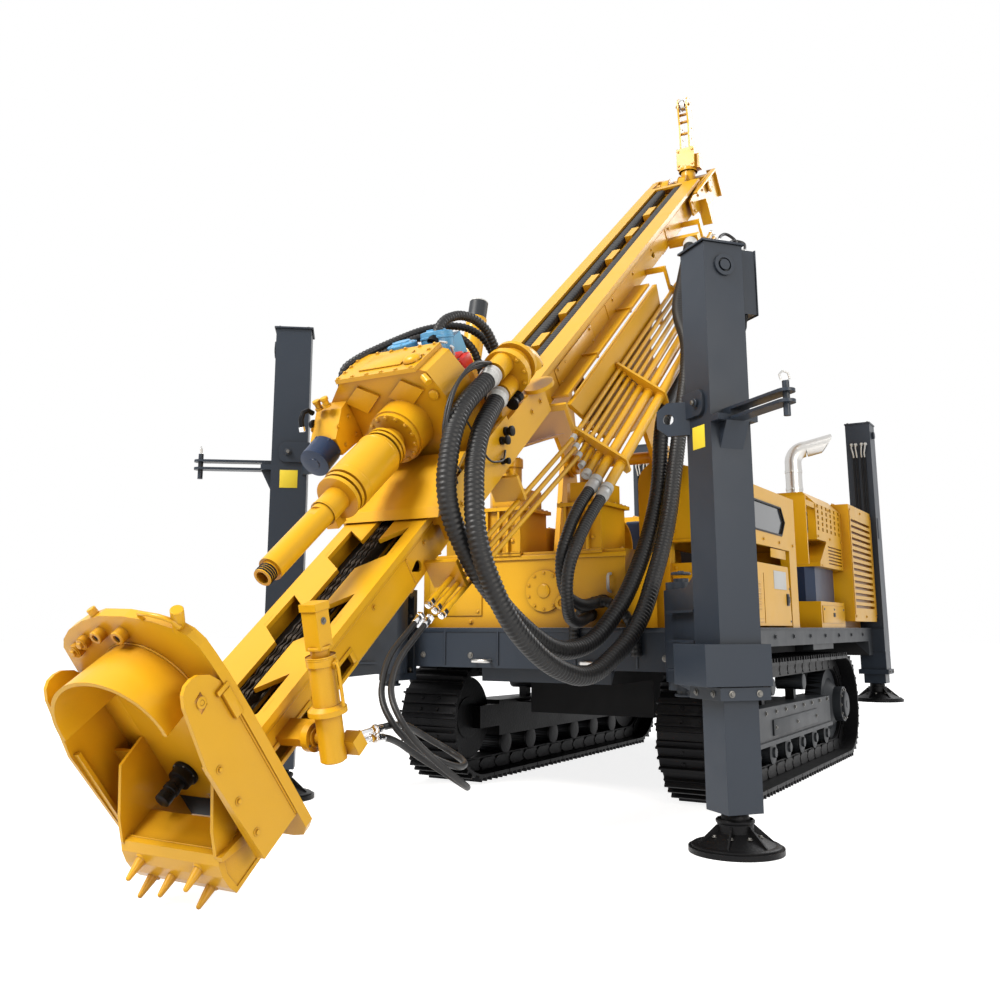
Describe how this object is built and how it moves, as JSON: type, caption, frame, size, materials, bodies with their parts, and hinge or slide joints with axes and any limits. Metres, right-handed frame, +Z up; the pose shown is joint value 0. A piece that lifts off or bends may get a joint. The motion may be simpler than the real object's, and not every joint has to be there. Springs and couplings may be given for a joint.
{
  "type": "reverse circulation drilling rig",
  "caption": "Tracked drilling rig with a tilted box mast, a rotary head on a feed chain, a toothed foot box, swing-out jack legs and an engine deck.",
  "frame": {"origin": "on the ground, at the middle of the footprint of the whole machine", "axes": "+Z up, +X to the machine right as the picture shows it, -Y to the front, where the foot of the mast is"},
  "size_m": [3.552, 7.4533, 5.4685],
  "materials": {
    "black": "rough",
    "blue": "satin",
    "chrome": "polished",
    "dark": "satin",
    "glass": "polished",
    "grey": "satin",
    "navy": "satin",
    "rubber": "matt",
    "steel": "brushed",
    "white": "satin",
    "yellow": "satin"
  },
  "bodies": {
    "base": {"air_cleaner": "white", "canopy": "yellow", "chassis": "grey", "engine": "navy", "exhaust": "steel", "guard_box": "yellow", "left_tank": "yellow", "radiator": "yellow", "rear_leg_tubes": "dark", "side_boxes": "yellow", "tower": "yellow", "track_frame_left": "grey", "track_frame_right": "grey", "track_left": "black", "track_right": "black", "track_wheels_left": "grey", "track_wheels_right": "grey", "window_pane": "glass"},
    "swing_leg_right": {"swing_leg_right": "dark"},
    "swing_leg_left": {"swing_leg_left": "dark"},
    "front_foot_right": {"front_inner_leg_right": "dark"},
    "front_foot_left": {"front_inner_leg_left": "dark"},
    "rear_foot_right": {"rear_inner_leg_right": "dark"},
    "rear_foot_left": {"rear_inner_leg_left": "dark"},
    "lift_barrel_right": {"lift_barrel_right": "yellow"},
    "lift_barrel_left": {"lift_barrel_left": "yellow"},
    "lift_rod_right": {"lift_rod_right": "chrome"},
    "lift_rod_left": {"lift_rod_left": "chrome"},
    "mast": {"mast": "yellow", "mast_table": "yellow", "feed_chain": "black", "hose_bands": "rubber", "mast_pipes": "yellow", "crown": "yellow", "hose_long": "rubber", "hose_short": "rubber", "hose_pipe_a": "rubber", "hose_pipe_b": "rubber", "hose_foot_a": "rubber", "hose_foot_b": "rubber"},
    "jib": {"jib": "yellow"},
    "head": {"head_carriage": "yellow", "head_gearbox": "yellow", "head_motors": "blue", "head_pipes": "yellow"},
    "spindle": {"spindle": "yellow"},
    "breakout_barrel": {"breakout_barrel": "yellow"},
    "breakout_rod": {"breakout_rod": "yellow"},
    "door_right": {"door_right": "yellow"}
  },
  "joints": [
    {"name": "leg_swing_right", "type": "hinge", "parent": "base", "child": "swing_leg_right", "pos_m": [0.925, -0.822, 0.9], "axis": [0, 0, 1], "range_deg": [-35, 35]},
    {"name": "front_leg_lift_right", "type": "slide", "parent": "swing_leg_right", "child": "front_foot_right", "axis": [0, 0, 1], "range_m": [0, 0.4]},
    {"name": "rear_leg_drop_right", "type": "slide", "parent": "base", "child": "rear_foot_right", "axis": [0, 0, -1], "range_m": [0, 0.37]},
    {"name": "leg_swing_left", "type": "hinge", "parent": "base", "child": "swing_leg_left", "pos_m": [-0.925, -0.822, 0.9], "axis": [0, 0, -1], "range_deg": [-35, 35]},
    {"name": "front_leg_lift_left", "type": "slide", "parent": "swing_leg_left", "child": "front_foot_left", "axis": [0, 0, 1], "range_m": [0, 0.4]},
    {"name": "rear_leg_drop_left", "type": "slide", "parent": "base", "child": "rear_foot_left", "axis": [0, 0, -1], "range_m": [0, 0.37]},
    {"name": "mast_tilt", "type": "hinge", "parent": "base", "child": "mast", "pos_m": [0, 0.443, 2.08], "axis": [-1, 0, 0], "range_deg": [0, 30]},
    {"name": "lift_barrel_pivot_right", "type": "hinge", "parent": "base", "child": "lift_barrel_right", "pos_m": [0.265, -0.507, 1.15], "axis": [-1, 0, 0], "range_deg": [0, 12]},
    {"name": "lift_rod_slide_right", "type": "slide", "parent": "lift_barrel_right", "child": "lift_rod_right", "axis": [0, 0, 1], "range_m": [0, 0.5]},
    {"name": "lift_barrel_pivot_left", "type": "hinge", "parent": "base", "child": "lift_barrel_left", "pos_m": [-0.265, -0.507, 1.15], "axis": [-1, 0, 0], "range_deg": [0, 12]},
    {"name": "lift_rod_slide_left", "type": "slide", "parent": "lift_barrel_left", "child": "lift_rod_left", "axis": [0, 0, 1], "range_m": [0, 0.5]},
    {"name": "head_feed", "type": "slide", "parent": "mast", "child": "head", "axis": [0, 0.7716, 0.6361], "range_m": [0, 3.2]},
    {"name": "spindle_turn", "type": "hinge", "parent": "head", "child": "spindle", "pos_m": [0, -2.18796, 1.73834], "axis": [0, 0.7716, 0.6361], "continuous": true},
    {"name": "jib_swivel", "type": "hinge", "parent": "mast", "child": "jib", "pos_m": [0.08, 1.943, 4.9], "axis": [0, 0, 1], "range_deg": [-90, 90]},
    {"name": "breakout_swing", "type": "hinge", "parent": "mast", "child": "breakout_barrel", "pos_m": [0.42, -2.97204, 0.56713], "axis": [1, 0, 0], "range_deg": [0, 8]},
    {"name": "breakout_stroke", "type": "slide", "parent": "breakout_barrel", "child": "breakout_rod", "axis": [0, -0.2403, 0.9707], "range_m": [0, 0.15]},
    {"name": "door_right_hinge", "type": "hinge", "parent": "base", "child": "door_right", "pos_m": [1.042, -0.067, 1.2], "axis": [0, 0, -1], "range_deg": [0, 100]}
  ],
  "couplings": [
    {"joint": "lift_barrel_pivot_right", "follows": "mast_tilt", "ratio": 0.2885},
    {"joint": "lift_rod_slide_right", "follows": "mast_tilt", "m_per_rad": 0.8973},
    {"joint": "lift_barrel_pivot_left", "follows": "mast_tilt", "ratio": 0.2885},
    {"joint": "lift_rod_slide_left", "follows": "mast_tilt", "m_per_rad": 0.8973}
  ]
}
